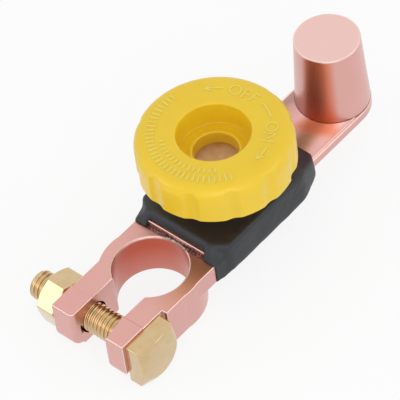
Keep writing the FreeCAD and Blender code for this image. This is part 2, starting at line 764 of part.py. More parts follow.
def repeat(body, name, feature, count):
    """Repeat a feature evenly round the body's vertical axis."""
    pattern = body.newObject("PartDesign::PolarPattern", name)
    pattern.Originals = [feature]
    pattern.Axis = (next(f for f in body.Origin.OriginFeatures if f.Role == "Z_Axis"), [""])
    pattern.Angle = 360.0
    bind(pattern, "Occurrences", count)
    body.Tip = pattern
    doc.recompute()


def check(nodes):
    """Every object is sound and every piece is whole before anything is written."""
    failed = [o.Label for o in doc.Objects if {"Invalid", "Error"} & set(o.State)]
    failed += [n.Label for n in nodes if n.Shape.isNull() or not n.Shape.isValid() or len(n.Shape.Solids) != 1]
    if failed:
        raise RuntimeError("failed: " + ", ".join(failed))


def write(nodes):
    """Write each piece to the file that its label names."""
    os.makedirs("parts", exist_ok=True)
    for node in nodes:
        node.Shape.exportStep(f"parts/{node.Label}.step")


fill_sheet()
clamp = clamp_casting()
post = post_casting()
sheet_piece = insulating_sheet()
bush = insulating_bush()
plug = base_plug()
stud = contact_stud()
pieces = [clamp, post, sheet_piece, bush, plug, stud, contact_washer(), retainer_ring(), stem_seal(),
          clamp_bolt(), clamp_nut(), housing([clamp, post, sheet_piece, bush, plug]), knob(stud)]
doc.recompute()
check(pieces)
write(pieces)
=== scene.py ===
"""Battery disconnect switch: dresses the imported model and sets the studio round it."""

import json
import math
from functools import partial

import bmesh
import bpy
from mathutils import Matrix, Vector, noise
from mathutils.bvhtree import BVHTree

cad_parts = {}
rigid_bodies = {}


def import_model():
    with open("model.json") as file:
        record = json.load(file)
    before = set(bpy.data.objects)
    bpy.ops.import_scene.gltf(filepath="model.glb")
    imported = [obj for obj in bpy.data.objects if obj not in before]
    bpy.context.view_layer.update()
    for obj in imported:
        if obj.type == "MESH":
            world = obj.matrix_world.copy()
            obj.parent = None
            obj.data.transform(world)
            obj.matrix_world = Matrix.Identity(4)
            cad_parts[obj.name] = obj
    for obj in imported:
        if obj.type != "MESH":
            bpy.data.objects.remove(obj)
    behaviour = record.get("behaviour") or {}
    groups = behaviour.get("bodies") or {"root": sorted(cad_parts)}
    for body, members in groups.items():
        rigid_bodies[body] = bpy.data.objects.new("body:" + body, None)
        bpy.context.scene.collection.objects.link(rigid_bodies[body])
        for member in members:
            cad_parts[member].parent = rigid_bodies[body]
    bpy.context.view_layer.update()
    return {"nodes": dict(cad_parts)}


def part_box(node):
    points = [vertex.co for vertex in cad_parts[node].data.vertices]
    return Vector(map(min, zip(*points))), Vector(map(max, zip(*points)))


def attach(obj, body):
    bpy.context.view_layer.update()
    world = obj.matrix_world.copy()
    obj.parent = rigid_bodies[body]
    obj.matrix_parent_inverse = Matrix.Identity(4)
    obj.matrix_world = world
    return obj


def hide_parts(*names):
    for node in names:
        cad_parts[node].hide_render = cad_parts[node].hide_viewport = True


bl_info = {
    "name": "Battery disconnect switch",
    "version": (1, 0, 0),
    "blender": (4, 5, 0),
    "location": "View3D > Sidebar > Disconnect switch",
    "description": "Copper clamp and post, rubbery housing and yellow fluted knob of a battery switch",
    "category": "Object",
}

for leftover in list(bpy.data.objects):
    bpy.data.objects.remove(leftover)
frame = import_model()
MM = 0.001

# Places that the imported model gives, in metres.
KNOB_LOW, KNOB_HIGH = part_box("knob")
_, POST_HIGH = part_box("post_casting")
CLAMP_LOW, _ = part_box("clamp_casting")
BOLT_LOW, BOLT_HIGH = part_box("clamp_bolt")
NUT_LOW, NUT_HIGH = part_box("clamp_nut")
KNOB_AXIS = Vector(((KNOB_LOW.x + KNOB_HIGH.x) / 2, (KNOB_LOW.y + KNOB_HIGH.y) / 2, 0))
BOLT_AXIS = Vector(((BOLT_LOW.x + BOLT_HIGH.x) / 2, 0, (BOLT_LOW.z + BOLT_HIGH.z) / 2))
POST_AXIS = Vector((0.0731, 0, 0))
POST_TOP_RADIUS = 8.75 * MM
# The post narrows by one millimetre of radius in eighteen of height.
POST_TAPER = 18.0
# The contact plate's upper face, where the post stands.
PLATE_TOP = 11.3 * MM
# Bolt head and nut: width across flats, radius of the flat end, and slope of the turned-off corners.
ACROSS_FLATS = 13.0 * MM
FLAT_END = 6.05 * MM
CORNER_SLOPE = math.tan(math.radians(30))
# Shares of a side at which a head or nut has rings, closer together towards the corners.
SIDE_SHARES = (0.1, 0.2, 0.3, 0.39, 0.45, 0.478, 0.49)
# The housing's skin keeps still this close to what it holds, and comes free over this distance, in steps.
SKIN_HELD = 0.7 * MM
SKIN_FREED = 1.6 * MM
SKIN_STEPS = 12
# Marks on the knob reach this far into its top.
MARKS_SUNK = 0.1 * MM


def linear(text):
    """An sRGB hex colour as linear red, green and blue."""
    parts = [int(text[i:i + 2], 16) / 255 for i in (0, 2, 4)]
    return tuple(c / 12.92 if c <= 0.04045 else ((c + 0.055) / 1.055) ** 2.4 for c in parts)


def rgba(colour):
    """A linear colour with full alpha."""
    return (*colour, 1)


# settings

def size(name, text, millimetres):
    """A length property in metres, given in millimetres."""
    return bpy.props.FloatProperty(
        name=name, description=text, default=millimetres * MM, min=0, soft_max=100 * MM,
        subtype="DISTANCE", unit="LENGTH", precision=5)


def tint(name, text, code):
    """A colour property given as an sRGB hex code."""
    return bpy.props.FloatVectorProperty(
        name=name, description=text, subtype="COLOR", size=3, min=0, max=1, default=linear(code))


class SwitchSizes(bpy.types.PropertyGroup):
    """Sizes of the dressed switch."""

    cast_edge: size("Cast edge", "Rounding along the castings' edges", 0.2)
    jaw_mouth: size("Jaw mouth", "Rounding of the jaws' upright edges beside the slot", 1.3)
    skin_grain: size("Skin grain", "Size of the even faces that the housing's skin is made of", 0.42)
    skin_wave: size("Skin wave", "How far the soft housing's skin swells and sinks", 0.16)
    hardware_edge: size("Hardware edge", "Rounding along the edges of bolt head and nut", 0.25)
    skin_softness: bpy.props.IntProperty(
        name="Skin softness", description="Rounds of smoothing on the housing's skin",
        default=26, min=0, max=60)
    knob_shoulder: size("Knob shoulder", "Radius between the knob's top and its side", 3.2)
    skirt_wall: size("Skirt wall", "Thickness of the knob's skirt", 3.0)
    flute_depth: size("Flute depth", "How deep each flute goes into the knob's side", 0.75)
    flute_radius: size("Flute radius", "Radius of the round cutter that makes a flute", 4.1)
    flute_softness: size("Flute softness", "Width over which a flute's edge is blended", 0.3)
    flutes: bpy.props.IntProperty(
        name="Flutes", description="Flutes round the knob", default=12, min=3, max=40)
    flute_phase: bpy.props.FloatProperty(
        name="Flute phase", description="Angle of the first flute from the long axis",
        default=math.radians(-7.8), subtype="ANGLE", unit="ROTATION")
    ribs: bpy.props.IntProperty(
        name="Ribs", description="Stiffening ribs below the knob", default=6, min=2, max=20)
    rib_width: size("Rib width", "Thickness of a stiffening rib", 1.6)
    mark_height: size("Mark height", "How far the marks stand up from the knob's top", 0.2)
    letter_height: size("Letter height", "Height of the capital letters", 3.5)
    stroke: size("Stroke", "Width of the arrows, the dash and the ticks", 0.45)
    thread_pitch: size("Thread pitch", "Distance from one turn of the bolt's thread to the next", 1.25)
    thread_depth: size("Thread depth", "Depth of the bolt's thread", 0.55)


class SwitchColours(bpy.types.PropertyGroup):
    """Colours of the dressed switch."""

    copper: tint("Copper", "Copper plating on the castings", "E0ABA3")
    # Deeper copper: random tone, and painted shade on the bore's wall.
    copper_deep_and_bore_shade: tint("Deep copper", "Copper plating in the bore and other hollows", "C25539")
    # Painted reflection on the post's side towards the knob.
    copper_painted_reflection: tint("Red copper", "Copper plating that tumbling hardly reached", "E27A52")
    # Paler copper on the post's top.
    copper_pale_top: tint("Faced copper", "Copper plating on the post's faced-off top", "EFCBC3")
    # Fine dark lines, along the lugs' step as painted shade.
    copper_dark_line: tint("Copper seam", "Fine dark seams in the copper plating", "5A3226")
    # Painted highlight along the castings' rounded edges.
    copper_edge_highlight: tint("Polished copper", "Copper plating along edges, polished by handling", "FBE0D6")
    # Dark specks where the neck meets the housing.
    dark_specks: tint("Grime", "Grime and flash marks by the housing", "2B1A14")
    brass: tint("Brass", "Bright plating of bolt and nut", "D5B98A")
    brass_dull: tint("Dull brass", "Clouds in the bright plating", "BC9A62")
    # Painted highlight along edges of bolt and nut.
    brass_edge_highlight: tint("Polished brass", "Bright plating along edges", "FFF6D8")
    stud: tint("Stud", "Turned stud face in the knob", "CBAE88")
    stud_dull: tint("Dull stud", "Clouds on the turned stud face", "B58467")
    knob: tint("Knob", "Yellow moulding", "F1CD24")
    knob_flow: tint("Knob flow", "Flow marks in the yellow moulding", "E4BD20")
    # Painted highlight on the knob's raised marks.
    knob_mark_highlight: tint("Rubbed knob", "Yellow moulding on raised marks, rubbed pale", "F6E27C")
    housing: tint("Housing", "Dark moulding", "212329")
    housing_warm: tint("Housing top", "Warmer tone on the housing's platform", "302923")
    fibre: tint("Fibre", "Insulating sheet and sleeve", "73543D")
    fibre_pale: tint("Pale fibre", "Single fibres in the sheet", "8C6B50")
    rubber: tint("Rubber", "Seal", "101010")
    rubber_pale: tint("Pale rubber", "Mottling of the seal", "1C1C1D")
    floor: tint("Floor", "Pale floor", "F2F2F2")


# mesh helpers

def between(first, second, shares):
    """Points at shares of the way from one point to another."""
    return [tuple(a + (b - a) * share for a, b in zip(first, second)) for share in shares]


def rounded_path(corners, step=math.radians(11)):
    """A closed path of (u, v) points from (u, v, radius) corners, each corner drawn as an arc."""
    path = []
    for index, (u, v, radius) in enumerate(corners):
        here = Vector((u, v))
        before = (Vector(corners[index - 1][:2]) - here).normalized()
        after = (Vector(corners[(index + 1) % len(corners)][:2]) - here).normalized()
        opening = before.angle(after)
        if radius <= 0 or opening > math.radians(178):
            path.append((u, v))
            continue
        start = here + before * (radius / math.tan(opening / 2))
        centre = here + (before + after).normalized() * (radius / math.sin(opening / 2))
        sweep = math.pi - opening
        turn = 1 if before.cross(after) < 0 else -1
        steps = max(2, round(sweep / step))
        arm = start - centre
        for i in range(steps + 1):
            angle = turn * sweep * i / steps
            path.append((centre.x + arm.x * math.cos(angle) - arm.y * math.sin(angle),
                         centre.y + arm.x * math.sin(angle) + arm.y * math.cos(angle)))
    return path


def new_object(name, data):
    """A scene object for a mesh, a curve, a lamp or a camera."""
    piece = bpy.data.objects.new(name, data)
    bpy.context.scene.collection.objects.link(piece)
    return piece


def plain_object(name, work):
    """A scene object from a bmesh, which is freed."""
    mesh = bpy.data.meshes.new(name)
    work.to_mesh(mesh)
    work.free()
    return new_object(name, mesh)


def mesh_object(name, builder):
    """A scene object whose mesh a function draws into a bmesh."""
    work = bmesh.new()
    builder(work)
    return plain_object(name, work)


def joined(name, parts):
    """One object from several, which are removed."""
    work = bmesh.new()
    for part in parts:
        work.from_mesh(part.data)
        bpy.data.objects.remove(part)
    return plain_object(name, work)


def modify(piece, kind, **settings):
    """Add a modifier with its settings."""
    modifier = piece.modifiers.new(kind.lower(), kind)
    for name, value in settings.items():
        setattr(modifier, name, value)
    return modifier


def settle(piece):
    """Apply every modifier, leaving one plain mesh."""
    bpy.context.view_layer.update()
    graph = bpy.context.evaluated_depsgraph_get()
    mesh = bpy.data.meshes.new_from_object(piece.evaluated_get(graph), depsgraph=graph)
    old = piece.data
    piece.modifiers.clear()
    if piece.type == "MESH":
        piece.data = mesh
        mesh.name = piece.name
        bpy.data.meshes.remove(old)
        return piece
    name = piece.name
    bpy.data.objects.remove(piece)
    return new_object(name, mesh)


def shade(piece, degrees):
    """Shade smooth, with the edges over an angle sharp."""
    piece.data.shade_smooth()
    piece.data.set_sharp_from_angle(angle=math.radians(degrees))


def tidy_mesh(piece, degrees):
    """Merge doubles, point the faces outwards and shade smooth up to a sharp angle."""
    work = bmesh.new()
    work.from_mesh(piece.data)
    bmesh.ops.remove_doubles(work, verts=work.verts, dist=1e-6)
    bmesh.ops.dissolve_degenerate(work, dist=1e-6, edges=work.edges)
    bmesh.ops.recalc_face_normals(work, faces=work.faces)
    work.to_mesh(piece.data)
    work.free()
    shade(piece, degrees)


def note_edge_highlight(piece, wear_and_highlight):
    """Keep how much painted edge highlight each point gets, for the material."""
    piece.data.attributes.new("edge_highlight", "FLOAT", "POINT").data.foreach_set("value", wear_and_highlight)


def finish(piece, material, body):
    """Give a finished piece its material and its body."""
    piece.data.materials.clear()
    piece.data.materials.append(material)
    for face in piece.data.polygons:
        face.material_index = 0
    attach(piece, body)


def merged_copy(node):
    """A CAD node's triangles as one closed bmesh, its flat faces whole again."""
    work = bmesh.new()
    work.from_mesh(frame["nodes"][node].data)
    bmesh.ops.remove_doubles(work, verts=work.verts, dist=2e-6)
    bmesh.ops.dissolve_limit(work, angle_limit=math.radians(0.6), verts=work.verts, edges=work.edges)
    return work


def cast_copy(node, name, edge, material, first=None, first_width=0.0, lid=None, skip=None):
    """A copy of a CAD casting with its outer edges rounded, and the rounding noted for a painted edge highlight.

    Edges that first picks get the wider first_width; lid cuts off all above a height; edges that
    skip picks stay as they are. Edges left sharp keep the shading clean in inner corners.
    """
    work = merged_copy(node)
    if lid is not None:
        everything = list(work.verts) + list(work.edges) + list(work.faces)
        cut = bmesh.ops.bisect_plane(work, geom=everything, plane_co=(0, 0, lid), plane_no=(0, 0, 1),
                                     clear_outer=True)
        rim = [item for item in cut["geom_cut"] if isinstance(item, bmesh.types.BMEdge)]
        bmesh.ops.edgeloop_fill(work, edges=rim)
        bmesh.ops.recalc_face_normals(work, faces=work.faces)
    if first:
        chosen = [item for item in work.edges if first(*(vert.co for vert in item.verts))]
        bmesh.ops.bevel(work, geom=chosen, offset=first_width, segments=6, profile=0.5, affect="EDGES",
                        clamp_overlap=False)
    weight = work.edges.layers.float.new("bevel_weight_edge")
    for item in work.edges:
        if len(item.link_faces) != 2 or item.calc_face_angle() < math.radians(25):
            continue
        if item.is_convex and (skip is None or not skip(*(vert.co for vert in item.verts))):
            item[weight] = 1.0
        else:
            item.smooth = False
    piece = plain_object(name, work)
    piece.data.shade_smooth()
    # The second material tells the rounding from the rest until the painted highlight is noted.
    for _ in range(2):
        piece.data.materials.append(material)
    modify(piece, "BEVEL", width=edge, segments=3, limit_method="WEIGHT", use_clamp_overlap=False, material=1)
    modify(piece, "WEIGHTED_NORMAL", keep_sharp=True)
    settle(piece)
    flat = {index for face in piece.data.polygons if face.material_index == 0 for index in face.vertices}
    note_edge_highlight(piece, [float(vert.index not in flat) for vert in piece.data.vertices])
    return piece


def even_skin(node, name, grain, rounds, wave, neighbours):
    """A copy of a CAD moulding remade as an even soft skin that sinks a little, away from what it holds."""
    piece = plain_object(name, merged_copy(node))
    modify(piece, "REMESH", mode="VOXEL", voxel_size=grain)
    modify(piece, "SMOOTH", factor=0.5, iterations=3)
    settle(piece)
    trees = []
    for other in neighbours:
        work = merged_copy(other)
        trees.append(BVHTree.FromBMesh(work))
        work.free()
    free = []
    for vert in piece.data.vertices:
        clear = min(tree.find_nearest(vert.co)[3] for tree in trees)
        free.append(min(max((clear - SKIN_HELD) / SKIN_FREED, 0.0), 1.0))
    group = piece.vertex_groups.new(name="free")
    for level in range(1, SKIN_STEPS + 1):
        group.add([index for index, share in enumerate(free) if round(share * SKIN_STEPS) == level],
                  level / SKIN_STEPS, "REPLACE")
    modify(piece, "SMOOTH", factor=0.5, iterations=rounds, vertex_group="free")
    settle(piece)
    piece.vertex_groups.clear()
    piece.data.shade_smooth()
    places = []
    for vert, share in zip(piece.data.vertices, free):
        swell = noise.noise(vert.co / MM * 0.13) + 0.35 * noise.noise(vert.co / MM * 0.45)
        # Sinking only keeps the skin inside the moulding's own size.
        places.extend(vert.co + vert.normal * (wave * share * (min(swell, 0.6) - 0.6)))
    piece.data.vertices.foreach_set("co", places)
    piece.data.update()
    return piece


def skin_rings(work, rings, closed):
    """Faces between each ring and the next, all the way round; each ring is open or closed in itself."""
    count = len(rings[0])
    for ring, following in zip(rings, rings[1:] + rings[:1]):
        for i in range(count if closed else count - 1):
            j = (i + 1) % count
            work.faces.new((ring[i], ring[j], following[j], following[i]))
    bmesh.ops.remove_doubles(work, verts=work.verts, dist=1e-7)
    bmesh.ops.dissolve_degenerate(work, dist=1e-7, edges=work.edges)
    bmesh.ops.recalc_face_normals(work, faces=work.faces)


def turned_body(work, path, axis, steps):
    """A path of (radius, height) turned about an upright axis."""
    rings = []
    for step in range(steps):
        angle = 2 * math.pi * step / steps
        rings.append([work.verts.new(axis + Vector((r * math.cos(angle), r * math.sin(angle), z)))
                      for r, z in path])
    skin_rings(work, rings, False)


def turned_prism(work, node, sides, profile, edge):
    """A square or hexagon about the bolt's axis, in a CAD node's place, with its corners turned off.

    profile(reach) gives the half section at an angle where the flats stand so far from the axis.
    """
    # The node reaches furthest at a corner.
    arms = [vert.co - BOLT_AXIS for vert in frame["nodes"][node].data.vertices]
    far = max(arms, key=lambda arm: arm.x ** 2 + arm.z ** 2)
    step = 2 * math.pi / sides
    shares = (-0.5, *(-share for share in reversed(SIDE_SHARES)), 0, *SIDE_SHARES)
    hub = (ACROSS_FLATS / 2 - edge) / math.cos(step / 2)
    rings = []
    for side in range(sides):
        for off in (step * share for share in shares):
            angle = math.atan2(far.z, far.x) + step / 2 + side * step + off
            reach = ACROSS_FLATS / 2 / math.cos(off)
            near = step / 2 - abs(off)
            if hub * math.sin(near) < edge * math.sin(step / 2):
                reach = min(reach, hub * math.cos(near) + math.sqrt(edge ** 2 - (hub * math.sin(near)) ** 2))
            rings.append([work.verts.new(BOLT_AXIS + Vector((r * math.cos(angle), y, r * math.sin(angle))))
                          for r, y in rounded_path(profile(reach), math.radians(15))])
    skin_rings(work, rings, True)


# node helpers

NOISE = "ShaderNodeTexNoise"
BUMP = "ShaderNodeBump"
ATTRIBUTE = "ShaderNodeAttribute"
VECTOR = "ShaderNodeVectorMath"
SPLIT = "ShaderNodeSeparateXYZ"
JOIN = "ShaderNodeCombineXYZ"
# Its inputs in order: a value, the two limits that it comes between and the two that it is brought to.
RANGE = "ShaderNodeMapRange"
EASED = {"interpolation_type": "SMOOTHSTEP"}


def feed(node, *inputs):
    """Link or set a node's inputs in order, or by name from a dict; a node stands for its first output."""
    by_name = inputs and isinstance(inputs[0], dict)
    for key, value in inputs[0].items() if by_name else enumerate(inputs):
        if isinstance(value, bpy.types.Node):
            value = value.outputs[0]
        if isinstance(value, bpy.types.NodeSocket):
            node.id_data.links.new(value, node.inputs[key])
        else:
            node.inputs[key].default_value = value


def add_node(tree, kind, *inputs, **settings):
    """Add a node with its settings and inputs; a kind in capitals is an operation of the Math node."""
    if kind.isupper():
        kind, settings = "ShaderNodeMath", {"operation": kind}
    node = tree.nodes.new(kind)
    for name, value in settings.items():
        setattr(node, name, value)
    feed(node, *inputs)
    return node


def new_material(name):
    """An empty node material, add_node for its tree, and its Principled shader."""
    material = bpy.data.materials.new(name)
    material.use_nodes = True
    material.node_tree.nodes.clear()
    add = partial(add_node, material.node_tree)
    shader = add("ShaderNodeBsdfPrincipled")
    add("ShaderNodeOutputMaterial", shader)
    return material, add, shader


def centred(add, centre=(0, 0, 0)):
    """Object coordinates in millimetres from a centre given in metres."""
    return add("ShaderNodeMapping", {
        "Vector": add("ShaderNodeTexCoord").outputs["Object"], "Scale": (1 / MM,) * 3,
        "Location": tuple(-c / MM for c in centre)})


def from_axis(add, centre):
    """Distance from an upright axis in millimetres."""
    flat = add(VECTOR, centred(add, centre), (1, 1, 0), operation="MULTIPLY")
    return add(VECTOR, flat, operation="LENGTH").outputs["Value"]


def band(add, value, low, high, soft):
    """1 where a value lies between two limits, falling off softly outside them."""
    return add("MULTIPLY", add(RANGE, value, low - soft, low + soft, 0.0, 1.0, **EASED),
               add(RANGE, value, high - soft, high + soft, 1.0, 0.0, **EASED))


def mottle(add, place, per_mm, low, high, detail=2.0, roughness=0.5):
    """Noise with so many grains to the millimetre, plain and spread between two limits."""
    plain = add(NOISE, {"Vector": place, "Scale": per_mm, "Detail": detail, "Roughness": roughness})
    return plain, add(RANGE, plain, 0.3, 0.7, low, high)


def painted(add, base, *layers):
    """A base colour with layers of (factor, colour) laid over it in turn."""
    colour = rgba(base)
    for factor, paint in layers:
        mixed = add("ShaderNodeMix", {"Factor": factor, 6: colour, 7: rgba(paint)}, data_type="RGBA")
        colour = mixed.outputs[2]
    return colour


# materials

def plated_copper(colours, add, shader):
    """Die-cast brass, tumbled, copper plated and lacquered: soft pink metal under a thin clear film.

    Edges carry a painted pale highlight, the bore's wall painted shade, and the post's side towards the knob a
    painted redder reflection; the post's top is paler, dark specks mark the neck, and fine dark lines run round
    the post's foot and, as painted shade, along the lugs' step.
    """
    here = centred(add)
    _, tone = mottle(add, here, 0.1, 0.0, 0.08, roughness=0.45)
    grain, rough = mottle(add, here, 2.6, 0.35, 0.41, detail=4.0, roughness=0.6)
    x, _, z = add(SPLIT, here).outputs
    post = from_axis(add, POST_AXIS)
    # Painted highlight along the rounded edges.
    wear_and_highlight = add(ATTRIBUTE, attribute_name="edge_highlight").outputs["Fac"]
    # Painted shade: the bore's wall takes the deeper copper, most of all below its upper rim.
    bore = add("LESS_THAN", from_axis(add, (0, 0, 0)), 9.85)
    climb = add(RANGE, z, 0.0, 9.0, 0.55, 1.0)
    bore_shade = add("MULTIPLY", bore, add("MULTIPLY", climb, band(add, z, -1.0, 12.0, 0.25)))
    # Dark specks where the neck steps up to the housing.
    speck = add(NOISE, {"Vector": here, "Scale": 1.6, "Detail": 5.0, "Roughness": 0.8})
    neck = add("MULTIPLY", band(add, x, 9.1, 10.6, 0.3), band(add, z, 12.3, 13.6, 0.5))
    neck_specks = add("MULTIPLY", neck, add(RANGE, speck, 0.38, 0.52, 0.0, 1.0))
    # Fine dark lines round the foot of the post, and painted shade along the lugs' step.
    foot = add("MULTIPLY", band(add, post, 9.7, 10.12, 0.1), band(add, z, 11.0, 11.5, 0.1))
    step = add("MULTIPLY", band(add, x, -16.5, -16.24, 0.05), band(add, z, 12.4, 14.0, 0.1))
    dark_lines = add("MAXIMUM", foot, step)
    # Painted reflection: the plating is redder and a little rougher on the post's side towards the knob and on
    # the plate at its foot, standing in for the orange reflection of knob and plate.
    toward = add(VECTOR, centred(add, POST_AXIS), (-0.94, -0.34, 0), operation="DOT_PRODUCT")
    share = add("DIVIDE", toward.outputs["Value"], post)
    turned_in = add(RANGE, share, 0.84, 0.98, 0.0, 1.0, **EASED)
    reach = add("MULTIPLY", band(add, post, 0.0, 14.5, 2.0), band(add, z, 11.0, 32.6, 0.1))
    painted_reflection = add("MULTIPLY", turned_in, reach)
    # The post's top is paler.
    pale_top = add("MULTIPLY", add("LESS_THAN", post, 8.9), add("GREATER_THAN", z, 33.0))
    dull = add("MAXIMUM", rough, add("MULTIPLY", neck_specks, 0.7))
    feed(shader, {
        "Base Color": painted(
            add, colours.copper, (tone, colours.copper_deep_and_bore_shade), (bore_shade, colours.copper_deep_and_bore_shade),
            (add("MULTIPLY", painted_reflection, 0.85), colours.copper_painted_reflection),
            (add("MULTIPLY", pale_top, 0.8), colours.copper_pale_top),
            (add("MULTIPLY", dark_lines, 0.7), colours.copper_dark_line),
            (add("MULTIPLY", wear_and_highlight, 0.85), colours.copper_edge_highlight), (add("MULTIPLY", neck_specks, 0.92), colours.dark_specks)),
        "Metallic": 1.0, "Coat Weight": 0.5, "Coat Roughness": 0.2,
        "Roughness": add("ADD", dull, add("MULTIPLY", painted_reflection, 0.15)),
        "Normal": add(BUMP, {"Height": grain, "Distance": 0.02 * MM, "Strength": 0.08})})


def bright_yellow_plating(colours, add, shader):
    """Pressed steel bolt and nut with bright yellow plating: crisp highlights and a hint of tool marks."""
    here = centred(add)
    _, tone = mottle(add, here, 0.35, 0.0, 0.35, detail=3.0)
    grain, rough = mottle(add, here, 3.5, 0.14, 0.24, detail=3.0)
    # Painted highlight along edges, where a piece carries one.
    wear_and_highlight = add(ATTRIBUTE, attribute_name="edge_highlight").outputs["Fac"]
    feed(shader, {
        "Base Color": painted(add, colours.brass, (tone, colours.brass_dull),
                              (add("MULTIPLY", wear_and_highlight, 0.7), colours.brass_edge_highlight)),
        "Metallic": 1.0, "Coat Weight": 1.0, "Coat Roughness": 0.1, "Roughness": rough,
        "Normal": add(BUMP, {"Height": grain, "Distance": 0.02 * MM, "Strength": 0.4})})


def turned_brass(colours, add, shader):
    """Brass face cut on a lathe: fine rings round the stud's axis, satin."""
    _, tone = mottle(add, centred(add, KNOB_AXIS), 0.5, 0.0, 0.5)
    # Tool marks every 0.35 mm: real ones are about 0.1 mm, too fine to show.
    rings = add("SINE", add("MULTIPLY", from_axis(add, KNOB_AXIS), 2 * math.pi / 0.35))
    feed(shader, {
        "Base Color": painted(add, colours.stud, (tone, colours.stud_dull)), "Metallic": 1.0, "Roughness": 0.34,
        "Normal": add(BUMP, {"Height": rings, "Distance": 0.02 * MM, "Strength": 0.5})})


def moulded_abs_yellow(colours, add, shader):
    """Injection moulded ABS with a satin gloss: even yellow, faint flow marks, a very fine skin."""
    here = centred(add, KNOB_AXIS)
    _, flow = mottle(add, here, 0.12, 0.0, 0.3)
    skin, rough = mottle(add, here, 3.0, 0.27, 0.34, detail=3.0)
    # Painted highlight on the marks' raised parts.
    wear_and_highlight = add(ATTRIBUTE, attribute_name="edge_highlight").outputs["Fac"]
    feed(shader, {
        "Base Color": painted(add, colours.knob, (flow, colours.knob_flow),
                              (add("MULTIPLY", wear_and_highlight, 0.55), colours.knob_mark_highlight)),
        "IOR": 1.53, "Subsurface Weight": 0.3, "Subsurface Radius": (1.0, 0.6, 0.15),
        "Subsurface Scale": 1.5 * MM, "Roughness": rough,
        "Normal": add(BUMP, {"Height": skin, "Distance": 0.02 * MM, "Strength": 0.15})})


def soft_pvc_dark(colours, add, shader):
    """Soft PVC dipped and moulded over the castings: dark, dull sheen, slightly uneven skin."""
    here = centred(add)
    wave = add(NOISE, {"Vector": here, "Scale": 0.14, "Detail": 2.0})
    skin, rough = mottle(add, here, 2.2, 0.42, 0.55, detail=4.0, roughness=0.6)
    facing = add(SPLIT, add("ShaderNodeNewGeometry").outputs["Normal"]).outputs["Z"]
    height = add(SPLIT, here).outputs["Z"]
    level = add(RANGE, facing, 0.85, 0.99, 0.0, 1.0, **EASED)
    on_top = add("MULTIPLY", level, band(add, height, 15.5, 30.0, 0.8))
    uneven = add("ADD", wave, add("MULTIPLY", skin, 0.08))
    feed(shader, {
        "Base Color": painted(add, colours.housing, (on_top, colours.housing_warm)),
        "IOR": 1.52, "Roughness": rough,
        "Normal": add(BUMP, {"Height": uneven, "Distance": 0.6 * MM, "Strength": 0.5})})


def fibre_board(colours, add, shader):
    """Pressed fibre sheet: brown, dry, with short pale fibres."""
    along = add("ShaderNodeMapping", {"Vector": centred(add), "Scale": (0.6, 3.0, 1.0)})
    fibre = add(NOISE, {"Vector": along, "Scale": 2.0, "Detail": 4.0})
    feed(shader, {
        "Base Color": painted(add, colours.fibre, (fibre, colours.fibre_pale)), "Roughness": 0.75,
        "Normal": add(BUMP, {"Height": fibre, "Distance": 0.05 * MM, "Strength": 0.5})})


def nitrile_rubber(colours, add, shader):
    """Moulded nitrile rubber: black, matt, faint mottling."""
    faint = add(NOISE, {"Vector": centred(add), "Scale": 1.5, "Detail": 3.0})
    feed(shader, {
        "Base Color": painted(add, colours.rubber, (faint, colours.rubber_pale)), "Roughness": 0.7,
        "Normal": add(BUMP, {"Height": faint, "Distance": 0.03 * MM, "Strength": 0.4})})


MAKERS = {maker.__name__: maker for maker in (
    plated_copper, bright_yellow_plating, turned_brass, moulded_abs_yellow, soft_pvc_dark, fibre_board,
    nitrile_rubber)}


def material_for(context, name):
    """The named material, made once."""
    if name not in bpy.data.materials:
        _, add, shader = new_material(name)
        MAKERS[name](context.scene.switch_colours, add, shader)
    return bpy.data.materials[name]


# geometry node trees

def new_tree(name, wholes, numbers, vectors=()):
    """A Geometry Nodes tree with its inputs named by kind: add_node for it, and what it is given."""
    tree = bpy.data.node_groups.new(name, "GeometryNodeTree")
    kinds = {"Geometry": ("Geometry",), "Int": wholes, "Float": numbers, "Vector": (*vectors, "Centre"),
             "Material": ("Material",)}
    for kind, labels in kinds.items():
        for label in labels:
            tree.interface.new_socket(label, in_out="INPUT", socket_type="NodeSocket" + kind)
    tree.interface.new_socket("Geometry", in_out="OUTPUT", socket_type="NodeSocketGeometry")
    return partial(add_node, tree), add_node(tree, "NodeGroupInput").outputs


def close_tree(add, geometry, given):
    """Move the result to its centre and end the tree in Realize Instances and Set Material."""
    placed = add("GeometryNodeTransform", {"Geometry": geometry, "Translation": given["Centre"]})
    real = add("GeometryNodeRealizeInstances", placed)
    coated = add("GeometryNodeSetMaterial", {"Geometry": real, "Material": given["Material"]})
    return add("NodeGroupOutput", coated).id_data


def run_tree(piece, tree, values):
    """Put a tree on a piece with its inputs set, and turn the result into a plain mesh."""
    modifier = modify(piece, "NODES", node_group=tree)
    keys = {item.name: item.identifier for item in tree.interface.items_tree
            if item.item_type == "SOCKET" and item.in_out == "INPUT"}
    for label, value in values.items():
        modifier[keys[label]] = value
    return settle(piece)


def swept_grid(add, rows, columns):
    """A grid whose points know their row number and their angle: the two results besides the grid."""
    grid = add("GeometryNodeMeshGrid", 1.0, 1.0, add("ADD", rows, 1.0), add("ADD", columns, 1.0))
    x, y, _ = add(SPLIT, add("GeometryNodeInputPosition")).outputs
    row = add("ROUND", add("MULTIPLY", add("ADD", x, 0.5), rows))
    return grid, row, add("MULTIPLY", add("ADD", y, 0.5), 2 * math.pi)


